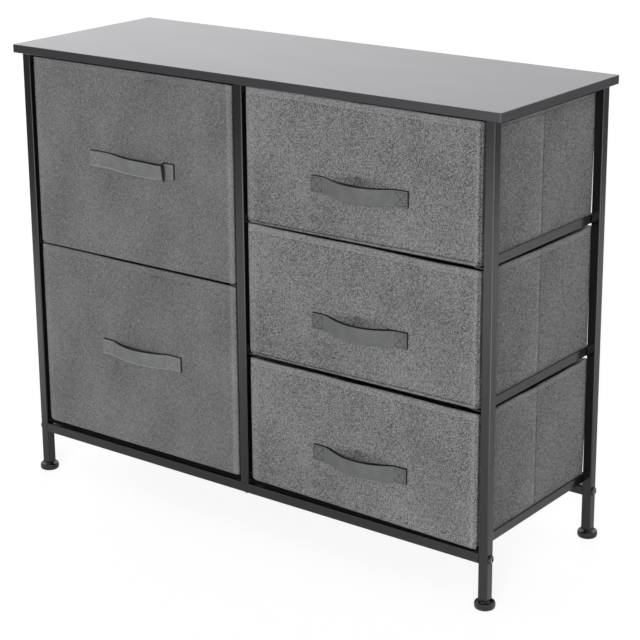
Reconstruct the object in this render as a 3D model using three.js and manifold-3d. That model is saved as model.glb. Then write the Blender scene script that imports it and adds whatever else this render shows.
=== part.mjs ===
// Wide five-drawer fabric dresser. A square-tube steel frame stands on four levelling glides and
// carries a thin board top. Angle runners inside the frame hold two tall fabric drawers in the left
// column and three low ones in the right. Each drawer is a sewn fabric box with a loose base board
// and a webbing pull. Millimetres, +Z up, +X to the right, and the drawers open towards -Y.
// The origin is on the floor, under the middle of the whole outline.
import * as THREE from 'three';
import { mergeVertices } from 'three/addons/utils/BufferGeometryUtils.js';
import Module from 'manifold-3d';

const wasm = await Module();
wasm.setup();

// Board top
const boardWidth = 830;
const boardDepth = 295;
const boardThickness = 12;
const boardCorner = 2;
const boardEdge = 0.6;
const overallHeight = 662;
const sideOverhang = 12;
const frontOverhang = 7;
const rearOverhang = 3;

// Square frame tube, and how high the legs and the bottom rails start above the floor
const tubeSize = 14;
const tubeWall = 1.2;
const tubeCorner = 1.6;
const legLift = 14;
const railLift = 63;
const plugDepth = 16;

// Angle runners of folded sheet: upright flange against the legs, shelf flange under the drawer
const sheet = 1.5;
const runnerLift = 82;
const runnerHeight = 12;
const runnerShelf = 16;
const runnerInset = 5;
const stopWidth = 11;
const stopGap = 1;

// Clearances: seat is left between pieces that rest on each other over a wide face
const seat = 0.3;
const drawerSideGap = 2;
const drawerTopGap = 1.6;
const underBoardGap = 4;
const overrun = 1;

// Fabric drawers
const drawerRecess = 3;
const drawerRearGap = 8;
const drawerFrontWall = 5;
const drawerWall = 4;
const drawerFloor = 2.5;
const drawerLowCorner = 7;
const drawerTopCorner = 3;
const drawerEdge = 1.5;
const baseThickness = 3;
const baseGap = 1;
const baseCorner = 4;

// Webbing pulls: overall length, sewn tab at each end, height, thickness and outward bow
const pullLength = 155;
const pullTab = 22;
const pullHeight = 22;
const pullThickness = 1.7;
const pullBow = 14;
const pullSteps = 20;
const leftPullRise = 144;
const rightPullRise = 70;

// Bolts through the legs into the bottom rails, and up through those rails into the centre posts
const boltRadius = 3;
const boltReach = 12;
const boltHeadRadius = 6;
const boltHeadHeight = 3;
const postHeadRadius = 5;
const postHeadHeight = 2;
const socketRadius = 2.3;
const socketDepth = 1.5;

// Wood screws that hold the board down on the top angles
const screwRadius = 1.8;
const screwHeadRadius = 4;
const screwHeadHeight = 1.6;
const screwBite = 8.5;
const screwInset = 40;

// Levelling glides and the plastic inserts that carry their studs
const glideRadius = 14.2;
const glideFootRadius = 11.5;
const glideRim = 9.6;
const glideDish = 7.6;
const neckRadius = 5.6;
const studRadius = 3;
const studLength = 24;
const insertFlange = 1.5;
const insertDepth = 18;

// Places worked out from the sizes above
const frameHalf = boardWidth / 2 - sideOverhang;
const legX = frameHalf - tubeSize / 2;
const legInnerX = frameHalf - tubeSize;
const postFaceX = tubeSize / 2;
const frameFrontY = -boardDepth / 2 + frontOverhang;
const frameRearY = boardDepth / 2 - rearOverhang;
const frontLegY = frameFrontY + tubeSize / 2;
const rearLegY = frameRearY - tubeSize / 2;
const boardUnderZ = overallHeight - boardThickness;
const railZ = railLift + tubeSize / 2;
const drawerFrontY = frameFrontY + drawerRecess;
const drawerRearY = frameRearY - drawerRearGap;
const drawerDepth = drawerRearY - drawerFrontY;
const outlineFrontY = Math.min(-boardDepth / 2, drawerFrontY - seat - pullBow - pullThickness);
const outlineRearY = Math.max(boardDepth / 2, rearLegY + glideRadius);
const runnerFrontY = frameFrontY + runnerInset;
const runnerLength = frameRearY - frameFrontY - 2 * runnerInset;
const shelfRise = sheet + seat;
const bayWidth = legInnerX - postFaceX - 2 * sheet;
const bayX = postFaceX + sheet + bayWidth / 2;
const drawerWidth = bayWidth - 2 * drawerSideGap;

// Facets of round shapes
const roundSides = 20;
const glideSides = 28;
const cornerSteps = 3;
const softCornerSteps = 5;

const paints = {
  board: { color: 0x39393c, roughness: 0.3, metalness: 0 },
  steel: { color: 0x232324, roughness: 0.25, metalness: 0 },
  bolt: { color: 0x1c1c1d, roughness: 0.35, metalness: 0.7 },
  zinc: { color: 0x9a9a98, roughness: 0.4, metalness: 0.9 },
  plastic: { color: 0x161616, roughness: 0.35, metalness: 0 },
  fabric: { color: 0x6c6c6e, roughness: 0.95, metalness: 0 },
  webbing: { color: 0x626266, roughness: 0.9, metalness: 0 },
  card: { color: 0x5a5a5c, roughness: 0.9, metalness: 0 },
};

const dresser = new THREE.Group();
dresser.position.y = -(outlineFrontY + outlineRearY) / 2;

function addMesh(name, geometry, paint, x, y, z) {
  const mesh = new THREE.Mesh(geometry, new THREE.MeshStandardMaterial(paints[paint]));
  mesh.name = name;
  mesh.position.set(x, y, z);
  dresser.add(mesh);
  return mesh;
}

// Solids are joined and cut as closed meshes with shared corners
function toSolid(geometry) {
  const bare = geometry.clone();
  bare.deleteAttribute('normal');
  bare.deleteAttribute('uv');
  const merged = mergeVertices(bare);
  const vertProperties = new Float32Array(merged.attributes.position.array);
  const triVerts = new Uint32Array(merged.index.array);
  return new wasm.Manifold(new wasm.Mesh({ numProp: 3, vertProperties, triVerts }));
}

function toGeometry(solid) {
  const mesh = solid.getMesh();
  const geometry = new THREE.BufferGeometry();
  const corners = new Float32Array(mesh.vertProperties);
  geometry.setAttribute('position', new THREE.BufferAttribute(corners, 3));
  geometry.setIndex(new THREE.BufferAttribute(new Uint32Array(mesh.triVerts), 1));
  geometry.computeVertexNormals();
  return geometry;
}

function cut(geometry, cutters) {
  let solid = toSolid(geometry);
  for (const cutter of cutters) {
    solid = solid.subtract(toSolid(cutter));
  }
  return toGeometry(solid);
}

function join(geometry, additions) {
  let solid = toSolid(geometry);
  for (const addition of additions) {
    solid = solid.add(toSolid(addition));
  }
  return toGeometry(solid);
}

// A rectangle about the origin whose two lower and two upper corners have their own radii
function roundedRectangle(width, height, lowRadius, highRadius, steps) {
  const corners = [
    [width / 2, -height / 2, lowRadius, -Math.PI / 2],
    [width / 2, height / 2, highRadius, 0],
    [-width / 2, height / 2, highRadius, Math.PI / 2],
    [-width / 2, -height / 2, lowRadius, Math.PI],
  ];
  const points = [];
  for (const [x, y, radius, start] of corners) {
    const centreX = x - Math.sign(x) * radius;
    const centreY = y - Math.sign(y) * radius;
    for (let i = 0; i <= steps; i += 1) {
      const angle = start + (Math.PI / 2) * (i / steps);
      points.push(new THREE.Vector2(centreX + radius * Math.cos(angle), centreY + radius * Math.sin(angle)));
    }
  }
  return points;
}

// A straight bar of the given outline that runs along Z from 0
function prism(points, length) {
  return new THREE.ExtrudeGeometry(new THREE.Shape(points), { depth: length, bevelEnabled: false });
}

// A round rod that runs along Z from z
function rod(radius, length, z) {
  const geometry = new THREE.CylinderGeometry(radius, radius, length, roundSides);
  geometry.rotateX(Math.PI / 2);
  geometry.translate(0, 0, z + length / 2);
  return geometry;
}

// Turns what runs along Z so that it runs along X
function alongX(geometry) {
  return geometry.rotateY(Math.PI / 2);
}

// Square tube along Z from 0. Its bore stops short of a plugged end, and the plug has a bolt hole
function squareTube(length, plugAtStart, plugAtEnd) {
  const outer = prism(roundedRectangle(tubeSize, tubeSize, tubeCorner, tubeCorner, cornerSteps), length);
  const boreSize = tubeSize - 2 * tubeWall;
  const boreCorner = Math.max(tubeCorner - tubeWall, tubeWall / 2);
  const start = plugAtStart ? plugDepth : -overrun;
  const end = plugAtEnd ? length - plugDepth : length + overrun;
  const bore = prism(roundedRectangle(boreSize, boreSize, boreCorner, boreCorner, cornerSteps), end - start);
  bore.translate(0, 0, start);
  const cutters = [bore];
  if (plugAtStart) {
    cutters.push(rod(boltRadius + seat, plugDepth + 2 * overrun, -overrun));
  }
  if (plugAtEnd) {
    cutters.push(rod(boltRadius + seat, plugDepth + 2 * overrun, length - plugDepth - overrun));
  }
  return cut(outer, cutters);
}

function makeBoard(screwPlaces) {
  const outline = roundedRectangle(boardWidth, boardDepth, boardCorner, boardCorner, cornerSteps);
  const slab = new THREE.ExtrudeGeometry(new THREE.Shape(outline), {
    depth: boardThickness - 2 * boardEdge,
    bevelThickness: boardEdge,
    bevelSize: boardEdge,
    bevelOffset: -boardEdge,
    bevelSegments: 1,
  });
  slab.translate(0, 0, boardEdge);
  const pilots = screwPlaces.map(([x, y]) => {
    const pilot = rod(screwRadius + seat, screwBite + seat + overrun, -overrun);
    pilot.translate(x, y, 0);
    return pilot;
  });
  addMesh('top_board', cut(slab, pilots), 'board', 0, 0, boardUnderZ);
}

// Corner legs. A bolt crosses each one at the height of the bottom rails
function makeLegs() {
  const length = boardUnderZ - legLift;
  for (const [side, x] of [['left', -legX], ['right', legX]]) {
    for (const [end, y] of [['front', frontLegY], ['rear', rearLegY]]) {
      const crossHole = alongX(rod(boltRadius + seat, tubeSize + 2 * overrun, -tubeSize / 2 - overrun));
      crossHole.translate(0, 0, railZ - legLift);
      const geometry = cut(squareTube(length, false, false), [crossHole]);
      addMesh(`${end}_${side}_leg`, geometry, 'steel', x, y, legLift);
    }
  }
}

// Bottom rails between the legs. A bolt crosses each one from below under the centre post
function makeBottomRails() {
  for (const [end, y] of [['front', frontLegY], ['rear', rearLegY]]) {
    const rail = alongX(squareTube(2 * legInnerX, true, true));
    rail.translate(-legInnerX, 0, 0);
    const postHole = rod(boltRadius + seat, tubeSize + 2 * overrun, -tubeSize / 2 - overrun);
    addMesh(`${end}_bottom_rail`, cut(rail, [postHole]), 'steel', 0, y, railZ);
  }
}

function makeCentrePosts() {
  const foot = railLift + tubeSize;
  for (const [end, y] of [['front', frontLegY], ['rear', rearLegY]]) {
    addMesh(`${end}_centre_post`, squareTube(boardUnderZ - foot, true, false), 'steel', 0, y, foot);
  }
}

// An angle whose upright flange lies against a frame face at x = 0 and whose shelf points to +X
function angleOutline(shelfOnTop) {
  const shelfZ = shelfOnTop ? runnerHeight : 0;
  const inward = shelfOnTop ? runnerHeight - sheet : sheet;
  const far = shelfOnTop ? 0 : runnerHeight;
  const points = [[0, far], [0, shelfZ], [runnerShelf, shelfZ], [runnerShelf, inward], [sheet, inward], [sheet, far]];
  return points.map(([x, z]) => new THREE.Vector2(x, z));
}

// Stands the outline up and runs it back along +Y from the front end of the runner
function angleBar(shelfOnTop) {
  const bar = prism(angleOutline(shelfOnTop), runnerLength);
  bar.rotateX(Math.PI / 2);
  bar.translate(0, runnerLength, 0);
  return bar;
}

// Drawer runner: the angle, with an upright stop behind the drawer
function runnerGeometry() {
  const stop = new THREE.BoxGeometry(stopWidth, sheet, runnerHeight);
  const stopY = drawerRearY + stopGap - runnerFrontY;
  stop.translate(stopWidth / 2, stopY + sheet / 2, runnerHeight / 2);
  return join(angleBar(false), [stop]);
}

// One piece for each frame face it lies against: at x, with its shelf towards shelfSide
function addAngle(name, geometry, x, shelfSide, z) {
  if (shelfSide < 0) {
    geometry.rotateZ(Math.PI);
    geometry.translate(0, runnerLength, 0);
    geometry.scale(1, -1, 1);
    geometry.translate(0, runnerLength, 0);
    geometry.index.array.reverse();
  }
  addMesh(name, geometry, 'steel', x, runnerFrontY, z);
}

// The three angles that the board is screwed to, with their screw holes
function makeTopAngles() {
  const z = boardUnderZ - runnerHeight;
  const holes = [screwInset, runnerLength - screwInset];
  const screwX = sheet + (runnerShelf - sheet) / 2;
  const places = [];
  const angles = [
    ['left_top_angle', -legInnerX, 1],
    ['centre_top_angle', postFaceX, 1],
    ['right_top_angle', legInnerX, -1],
  ];
  for (const [name, x, shelfSide] of angles) {
    const cutters = holes.map((y) => {
      const hole = rod(screwRadius + seat, sheet + 2 * overrun, runnerHeight - sheet - overrun);
      hole.translate(screwX, y, 0);
      return hole;
    });
    addAngle(name, cut(angleBar(true), cutters), x, shelfSide, z);
    const base = name.replace('_top_angle', '');
    places.push([`${base}_front_board_screw`, x + shelfSide * screwX, runnerFrontY + holes[0]]);
    places.push([`${base}_rear_board_screw`, x + shelfSide * screwX, runnerFrontY + holes[1]]);
  }
  return places;
}

// Flat-faced head with a hex socket below z = 0, and a shank that runs up from it
function capScrew(headRadius, headHeight, radius, length) {
  const profile = [
    [0, -headHeight],
    [headRadius * 0.6, -headHeight],
    [headRadius * 0.9, -headHeight * 0.7],
    [headRadius, -headHeight * 0.3],
    [headRadius, 0],
    [radius, 0],
    [radius, length],
    [0, length],
  ];
  const turned = lathe(profile, roundSides);
  const socket = new THREE.CylinderGeometry(socketRadius, socketRadius, socketDepth + overrun, 6);
  socket.rotateX(Math.PI / 2);
  socket.translate(0, 0, -headHeight + (socketDepth - overrun) / 2);
  return cut(turned, [socket]);
}

// Turns a profile of [radius, height] pairs about Z
function lathe(profile, sides) {
  const points = profile.map(([radius, z]) => new THREE.Vector2(radius, z));
  const geometry = new THREE.LatheGeometry(points, sides);
  geometry.rotateX(Math.PI / 2);
  return geometry;
}

function makeFasteners(screwPlaces) {
  for (const [side, sign] of [['left', -1], ['right', 1]]) {
    for (const [end, y] of [['front', frontLegY], ['rear', rearLegY]]) {
      const bolt = capScrew(boltHeadRadius, boltHeadHeight, boltRadius, seat + tubeSize + boltReach);
      bolt.rotateY((-sign * Math.PI) / 2);
      addMesh(`${end}_${side}_corner_bolt`, bolt, 'bolt', sign * (frameHalf + seat), y, railZ);
    }
  }
  for (const [end, y] of [['front', frontLegY], ['rear', rearLegY]]) {
    const bolt = capScrew(postHeadRadius, postHeadHeight, boltRadius, seat + tubeSize + boltReach);
    addMesh(`${end}_post_bolt`, bolt, 'bolt', 0, y, railLift - seat);
  }
  const screwHeadZ = boardUnderZ - sheet;
  for (const [name, x, y] of screwPlaces) {
    const screw = capScrew(screwHeadRadius, screwHeadHeight, screwRadius, sheet + screwBite);
    addMesh(name, screw, 'zinc', x, y, screwHeadZ);
  }
}

// Plastic insert in the open end of a leg: flange under the tube, plug inside it, bore for the stud
function insertGeometry() {
  const plugSize = tubeSize - 2 * (tubeWall + seat);
  const corner = tubeWall;
  const flange = prism(roundedRectangle(tubeSize, tubeSize, tubeCorner, tubeCorner, cornerSteps), insertFlange);
  const plug = prism(roundedRectangle(plugSize, plugSize, corner, corner, cornerSteps), insertDepth);
  const bore = rod(studRadius + seat, insertDepth + 2 * overrun, -overrun);
  return cut(join(flange, [plug]), [bore]);
}

// Levelling glide: rounded disc with a dished top round its neck, and a threaded stud above
function glideGeometry() {
  const neckTop = legLift - insertFlange - 2 * seat;
  const profile = [
    [0, 0],
    [glideFootRadius, 0],
    [glideRadius * 0.94, glideRim * 0.11],
    [glideRadius, glideRim * 0.33],
    [glideRadius, glideRim * 0.68],
    [glideRadius * 0.96, glideRim * 0.9],
    [glideRadius * 0.88, glideRim],
    [glideRadius * 0.78, glideRim * 0.95],
    [glideRadius * 0.6, glideDish],
    [neckRadius * 1.2, glideDish * 1.08],
    [neckRadius, glideRim],
    [neckRadius, neckTop],
    [studRadius, neckTop],
    [studRadius, neckTop + studLength],
    [0, neckTop + studLength],
  ];
  return lathe(profile, glideSides);
}

function makeFeet() {
  for (const [side, x] of [['left', -legX], ['right', legX]]) {
    for (const [end, y] of [['front', frontLegY], ['rear', rearLegY]]) {
      addMesh(`${end}_${side}_leg_insert`, insertGeometry(), 'plastic', x, y, legLift - seat - insertFlange);
      addMesh(`${end}_${side}_glide`, glideGeometry(), 'plastic', x, y, 0);
    }
  }
}

// Fabric box open at the top, front face at y = 0, underside at z = 0, centred on x = 0
function drawerShell(height) {
  const outline = roundedRectangle(drawerWidth, height, drawerLowCorner, drawerTopCorner, softCornerSteps);
  const outer = new THREE.ExtrudeGeometry(new THREE.Shape(outline), {
    depth: drawerDepth - 2 * drawerEdge,
    bevelThickness: drawerEdge,
    bevelSize: drawerEdge,
    bevelOffset: -drawerEdge,
    bevelSegments: 2,
  });
  outer.rotateX(Math.PI / 2);
  outer.translate(0, drawerDepth - drawerEdge, height / 2);
  const innerWidth = drawerWidth - 2 * drawerWall;
  const innerDepth = drawerDepth - drawerFrontWall - drawerWall;
  const innerCorner = drawerLowCorner - drawerWall;
  const hollow = prism(roundedRectangle(innerWidth, innerDepth, innerCorner, innerCorner, cornerSteps), height);
  hollow.translate(0, drawerFrontWall + innerDepth / 2, drawerFloor);
  return cut(outer, [hollow]);
}

function baseBoard() {
  const width = drawerWidth - 2 * (drawerWall + baseGap);
  const depth = drawerDepth - drawerFrontWall - drawerWall - 2 * baseGap;
  const board = prism(roundedRectangle(width, depth, baseCorner, baseCorner, cornerSteps), baseThickness);
  board.translate(0, drawerFrontWall + baseGap + depth / 2, 0);
  return board;
}

// Webbing pull seen from above: flat sewn tabs, and between them a loop that bows out to -Y
function pullGeometry() {
  const bowShare = (x) => Math.max(1 - Math.abs(x / (pullLength / 2 - pullTab)) ** 3, 0);
  const inner = [];
  const outer = [];
  for (let i = 0; i <= pullSteps; i += 1) {
    const x = (i / pullSteps - 1 / 2) * (pullLength - 2 * pullTab);
    inner.push(new THREE.Vector2(x, -pullBow * bowShare(x)));
    outer.push(new THREE.Vector2(x, -pullBow * bowShare(x) - pullThickness));
  }
  const half = pullLength / 2;
  const end = [new THREE.Vector2(half, 0), new THREE.Vector2(half, -pullThickness)];
  const start = [new THREE.Vector2(-half, -pullThickness), new THREE.Vector2(-half, 0)];
  const loop = prism([...inner, ...end, ...outer.reverse(), ...start], pullHeight);
  loop.translate(0, 0, -pullHeight / 2);
  return loop;
}

// One column: its drawers are equal, and each stands on a pair of runners
function makeColumn(side, sign, levels, pullRise) {
  const count = levels.length;
  const clearHeight = boardUnderZ - underBoardGap - runnerLift;
  const height = (clearHeight - count * shelfRise - (count - 1) * drawerTopGap) / count;
  levels.forEach((level, i) => {
    const runnerZ = runnerLift + i * (height + shelfRise + drawerTopGap);
    const name = `${side}_${level}`;
    addAngle(`${name}_outer_runner`, runnerGeometry(), sign * legInnerX, -sign, runnerZ);
    addAngle(`${name}_inner_runner`, runnerGeometry(), sign * postFaceX, sign, runnerZ);
    const x = sign * bayX;
    const z = runnerZ + shelfRise;
    addMesh(`${name}_drawer_shell`, drawerShell(height), 'fabric', x, drawerFrontY, z);
    addMesh(`${name}_drawer_base`, baseBoard(), 'card', x, drawerFrontY, z + drawerFloor + seat);
    addMesh(`${name}_drawer_pull`, pullGeometry(), 'webbing', x, drawerFrontY - seat, z + pullRise);
  });
}

const screwPlaces = makeTopAngles();
makeBoard(screwPlaces.map(([, x, y]) => [x, y]));
makeLegs();
makeBottomRails();
makeCentrePosts();
makeColumn('left', -1, ['lower', 'upper'], leftPullRise);
makeColumn('right', 1, ['lower', 'middle', 'upper'], rightPullRise);
makeFeet();
makeFasteners(screwPlaces);

export default dresser;
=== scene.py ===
import math

import bmesh
import bpy
import numpy as np
from mathutils import Matrix, Vector


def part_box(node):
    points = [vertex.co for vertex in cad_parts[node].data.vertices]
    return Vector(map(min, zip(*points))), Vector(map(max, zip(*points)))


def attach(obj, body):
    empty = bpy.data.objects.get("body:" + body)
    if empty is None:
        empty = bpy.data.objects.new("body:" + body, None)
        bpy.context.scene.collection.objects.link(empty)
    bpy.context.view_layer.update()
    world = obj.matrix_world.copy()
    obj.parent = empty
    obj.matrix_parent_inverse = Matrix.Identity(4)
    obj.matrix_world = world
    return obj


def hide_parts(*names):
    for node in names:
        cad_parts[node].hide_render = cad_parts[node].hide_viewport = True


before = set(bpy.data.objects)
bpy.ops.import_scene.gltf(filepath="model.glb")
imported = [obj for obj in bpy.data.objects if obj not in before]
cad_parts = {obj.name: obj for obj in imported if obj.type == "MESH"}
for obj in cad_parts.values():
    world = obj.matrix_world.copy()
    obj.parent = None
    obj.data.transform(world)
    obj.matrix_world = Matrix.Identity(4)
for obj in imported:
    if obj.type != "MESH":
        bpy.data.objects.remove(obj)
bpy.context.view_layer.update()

MM = 0.001

# Camera, fitted to the photograph's frame of 640 by 640
FRAME_WIDTH = 640
FOCAL_PIXELS = 1878.357
SENSOR_WIDTH = 36
CENTRE_ROW = 243
CAMERA_PLACE = (1567.963 * MM, -2031.359 * MM, 1135.921 * MM)
YAW = 0.647734552
PITCH = 0.280462661
ROLL = -0.00742790847

# Skin of a fabric drawer: thicknesses, roundings and the size of its cells
WALL = 4 * MM
FRONT_WALL = 5 * MM
FLOOR = 2.4 * MM
CORNER = 4 * MM
REAR_CORNER = 1.2 * MM
CORNER_STEPS = 4
SIDE_FOLD = 6.5 * MM
FRONT_FOLD = 2.6 * MM
FOLD_STEPS = 9
RIM = 1.5 * MM
CELL = 4.6 * MM

# Slack of its cloth: the rear edges' swelling, the sides' lowered rims and crease, and the lower seam
REAR_BULGE = 1.8 * MM
SIDE_DIP = (2.8 * MM, 5.0 * MM)
TOP_BLEND = 30 * MM
SIDE_CREASE = 4 * MM
CREASE_STEPS = (1.2 * MM, 2.4 * MM, 3.8 * MM, 5.6 * MM)
SEAM_WIDTH = 0.9 * MM
SEAM_DEPTH = 0.5 * MM

# Hem: depth of its two lines of stitches below the top edge, and the grooves that they pull
HEM = 8.2 * MM
HEM_TOP = 3.4 * MM
GROOVE_WIDTH = 1.2 * MM
GROOVE_DEPTH = 0.45 * MM

# Stitches of the hem, of the strap's ends and of its edge: radius of the thread, pitch and length
HEM_SEWING = (0.42 * MM, 3.9 * MM, 3.0 * MM)
TAB_SEWING = (0.6 * MM, 2.9 * MM, 2.2 * MM)
EDGE_SEWING = (0.75 * MM, 3.4 * MM, 3.2 * MM)
HEM_LIFT = 0.35 * MM
HEM_POINTS = (90, 70)

# Rings of one stitch: place along its length, and radius and rise as shares of the thread's radius
STITCH_RINGS = ((-0.5, 0.25, -0.7), (-0.22, 1.0, 0.1), (0.22, 1.0, 0.1), (0.5, 0.25, -0.7))
STITCH_SIDES = 5

# Pulls: the strap, the stitched boxes at its ends, and the near-black sheet behind it, a painted shade
STRAP_HEIGHT = 22.6 * MM
STRAP_THICKNESS = 1.9 * MM
STRAP_EDGE = 0.7 * MM
STRAP_SEAT = 0.2 * MM
STRAP_POINTS = 96
BOW_DEPTH = 13 * MM
EDGE_STITCHES_END = 60 * MM
TAB_PLACE = 67 * MM
TAB_PRESS = 0.25 * MM
TAB_MARGIN = (2.4 * MM, 2.6 * MM)
SHADE_SHEET_EDGE = 0.9 * MM
SHADE_SHEET_LIFT = 0.35 * MM
SHADE_SHEET_POINTS = (64, 7)

# Black felt strip under the lowest drawers, a painted shade over the gap above the bottom rail
FOOT_STRIP_DROP = 4.8 * MM
FOOT_STRIP_BACK = 0.9 * MM
FOOT_STRIP_THICKNESS = 0.8 * MM
FOOT_STRIP_REACH = 1.4 * MM
FOOT_STRIP_POINTS = 30

# Bright rim round a bolt's key socket, a painted glint: radius and rise of each point of its section
SOCKET_RIM = (
    (2.45 * MM, -0.05 * MM), (2.6 * MM, 0.25 * MM), (3.0 * MM, 0.4 * MM), (3.4 * MM, 0.25 * MM),
    (3.55 * MM, -0.05 * MM),
)
SOCKET_STEPS = 28

# Materials: the cloth's weave and the strap's ribs from one to the next, and the board's tint
WEAVE_PITCH = 1.15 * MM
RIB_PITCH = 1.4 * MM
BOARD_TINT = (0.97, 0.95, 1.0, 1)

# Light: level of the surround, energy and azimuth of the two lamps, and their breadth and height
WORLD_LEVEL = 0.25
KEY = (2.6, 27)
FILL = (1.3, 215)
SUN_ANGLE = 36
SUN_HEIGHT = 8

# Surround as the camera, gloss and glass see it: level by the closeness to one direction
GLOSS_SIDE = (-0.866, 0.5, 0)
GLOSS_CLOSENESS = (0.84, 0.97)
GLOSS_LEVELS = (1.05, 1.38)

# Floor: half its size, its colour and glow to the camera, and its colour to matt surfaces
FLOOR_REACH = 60.0
FLOOR_SEEN = (0.5, 0.5, 0.5, 1)
FLOOR_WHITE = 0.82
FLOOR_PLAIN = (0.75, 0.75, 0.75, 1)

# Floor as gloss sees it: an even glow, and pools of light with their place, width and gain. They are
# put where the photograph's reflections ask for them, and most are brighter than the surround.
FLOOR_GLOW = 0.36
FLOOR_POOLS = (
    ((1.8, -1.2, 0), 0.9, 3.4),
    ((0.6, -2.7, 0), 0.9, 2.4),
    ((1.2, -0.6, 0), 0.35, 2.6),
    ((-1.1, -0.5, 0), 0.4, 1.6),
    ((-0.35, -1.75, 0), 0.6, 1.3),
    ((1.3, 1.2, 0), 0.5, 0.7),
)

# Inputs of the main shader that the materials set
SHADER_INPUTS = {
    "colour": "Base Color", "specular": "Specular IOR Level", "tint": "Specular Tint",
    "coat": "Coat Weight", "coat_roughness": "Coat Roughness", "coat_tint": "Coat Tint",
    "sheen": "Sheen Weight", "sheen_roughness": "Sheen Roughness",
}


def smooth(low, high, value):
    """0 below low, 1 above high, and a smooth step between them."""
    t = np.clip((value - low) / (high - low), 0, 1)
    return t * t * (3 - 2 * t)


def bell(value, middle, width):
    """1 at the middle, and less on both sides of it."""
    return np.exp(-(((value - middle) / width) ** 2))


def waves(seed, length, count, spread, lean):
    """Random surface of about unit height: waves of about this length, at angles round the lean."""
    rng = np.random.default_rng(seed)
    angles = lean + rng.uniform(-spread / 2, spread / 2, count)
    lengths = length * rng.uniform(0.6, 1.6, count)
    phases = rng.uniform(0, 2 * math.pi, count)

    def height(u, v):
        total = np.zeros(np.broadcast(u, v).shape)
        for angle, size, phase in zip(angles, lengths, phases):
            along = u * math.cos(angle) + v * math.sin(angle)
            total = total + np.cos(2 * math.pi * along / size + phase)
        return total / math.sqrt(count / 2)

    return height


class Graph:
    """The node tree of a material or the world, and short ways to add nodes to it."""

    def __init__(self, owner):
        owner.use_nodes = True
        self.owner = owner
        self.tree = owner.node_tree

    def put(self, node, key, value):
        """Sets an input of a node, or links it if the value is a socket."""
        if isinstance(value, bpy.types.NodeSocket):
            self.tree.links.new(value, node.inputs[key])
        else:
            node.inputs[key].default_value = value

    def node(self, kind, inputs=None, **settings):
        made = self.tree.nodes.new(kind)
        for key, value in settings.items():
            setattr(made, key, value)
        for key, value in (inputs or {}).items():
            self.put(made, key, value)
        return made

    def coordinates(self, kind, scale, shift=0.0):
        source = self.node("ShaderNodeTexCoord").outputs[kind]
        place = {"Vector": source, "Scale": scale, "Location": (shift, shift, shift)}
        return self.node("ShaderNodeMapping", place).outputs[0]

    def noise(self, kind, scale, shift, detail, dimensions="3D"):
        inputs = {"Vector": self.coordinates(kind, scale, shift), "Scale": 1.0, "Detail": detail}
        return self.node("ShaderNodeTexNoise", inputs, noise_dimensions=dimensions).outputs[0]

    def cells(self, kind, scale, shift):
        inputs = {"Vector": self.coordinates(kind, scale, shift), "Scale": 1.0, "Randomness": 1.0}
        return self.node("ShaderNodeTexVoronoi", inputs, voronoi_dimensions="2D").outputs["Color"]

    def math(self, operation, a, b=0.0):
        return self.node("ShaderNodeMath", {0: a, 1: b}, operation=operation).outputs[0]

    def vector(self, operation, a, b):
        return self.node("ShaderNodeVectorMath", {0: a, 1: b}, operation=operation).outputs["Value"]

    def blend(self, parts):
        """Sum of (value, weight) pairs, each about its middle of one half."""
        total = 0.5
        for value, weight in parts:
            centred = self.math("SUBTRACT", value, 0.5)
            total = self.math("ADD", self.math("MULTIPLY", centred, weight), total)
        return total

    def ramp(self, value, stops):
        made = self.node("ShaderNodeValToRGB", {0: value})
        for element, (place, colour) in zip(made.color_ramp.elements, stops):
            element.position = place
            element.color = (*colour, 1)
        return made.outputs[0]

    def bump(self, height, distance, strength=1.0):
        inputs = {"Height": height, "Distance": distance, "Strength": strength}
        return self.node("ShaderNodeBump", inputs).outputs[0]

    def finish(self, **inputs):
        """Sets the inputs of a material's main shader."""
        shader = self.tree.nodes["Principled BSDF"]
        for key, value in inputs.items():
            self.put(shader, SHADER_INPUTS.get(key, key.title()), value)
        return self.owner


def grey(level, warmth=0.0):
    """Linear colour of an sRGB level from 0 to 255, a little warm or cool."""
    parts = [(level + shift * warmth) / 255 for shift in (1, 0, -1)]
    return tuple(p / 12.92 if p <= 0.04045 else ((p + 0.055) / 1.055) ** 2.4 for p in parts)


def fabric_material(name, level, speckle, streaks, seed):
    """Heathered cloth: a plain weave of uneven threads, with pale and dark flecks and soft patches."""
    g = Graph(bpy.data.materials.new(name))
    warp = g.noise("UV", (820, 160, 1), seed, 2.0, "2D")
    weft = g.noise("UV", (200, 820, 1), seed + 7, 2.0, "2D")
    grain = g.noise("UV", (1100, 1100, 1), seed + 3, 1.0, "2D")
    fleck = g.cells("UV", (1230, 1540, 1), seed + 9)
    patch = g.noise("UV", (14, 9, 1), seed + 5, 3.0, "2D")
    parts = [(warp, streaks), (weft, 0.2 * streaks), (fleck, speckle), (patch, 0.34)]
    # The mesh's tone attribute adds painted light and shade: pale bands and dark lines at edges, creases,
    # hems and seams, and shade above a strap.
    folds = g.node("ShaderNodeAttribute", attribute_name="tone").outputs["Fac"]
    tone = g.math("ADD", g.blend(parts), folds)
    colour = g.ramp(tone, [(0.0, grey(level * 0.4)), (1.0, grey(level * 1.48, -0.3))])
    turn = 2 * math.pi / WEAVE_PITCH
    across = g.node("ShaderNodeSeparateXYZ", {0: g.coordinates("UV", (turn, turn, 1))})
    weave = g.math("MULTIPLY", g.math("SINE", across.outputs[0]), g.math("SINE", across.outputs[1]))
    height = g.math("ADD", g.math("MULTIPLY", weave, 0.35), g.math("MULTIPLY", grain, 1.3))
    normal = g.bump(height, 0.35 * MM, 0.7)
    return g.finish(
        colour=colour, roughness=0.94, specular=0.18, sheen=0.12, sheen_roughness=0.5, normal=normal
    )


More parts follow.
